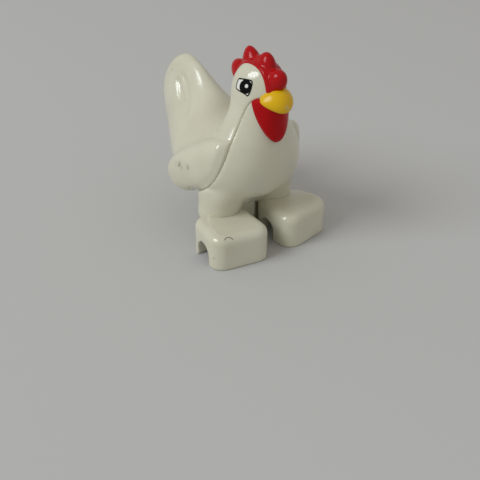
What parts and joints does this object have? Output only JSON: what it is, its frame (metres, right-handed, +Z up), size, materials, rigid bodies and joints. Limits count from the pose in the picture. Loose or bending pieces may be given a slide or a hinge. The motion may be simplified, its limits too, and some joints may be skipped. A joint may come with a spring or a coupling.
{
  "type": "toy hen figure",
  "caption": "Small moulded plastic toy hen with raised tail, comb, beak and wattle, standing on two hollow block feet that clip onto round studs.",
  "frame": {"origin": "on the floor, below the middle of the whole figure", "axes": "+Z up; the beak points along -Y; the hen's right side is at -X"},
  "size_m": [0.0298, 0.043, 0.0422],
  "materials": {
    "white_plastic": "glossy off-white moulded plastic, slightly aged",
    "red_plastic": "glossy deep red, worn a little on the crests",
    "yellow_plastic": "glossy golden yellow",
    "eye_print": "glossy black and white pad print"
  },
  "bodies": {
    "root": {"breast_shell": "white_plastic", "back_shell": "white_plastic", "right_foot": "white_plastic", "left_foot": "white_plastic", "comb": "red_plastic", "beak": "yellow_plastic", "wattle": "red_plastic", "right_eye": "eye_print", "left_eye": "eye_print"}
  },
  "joints": []
}
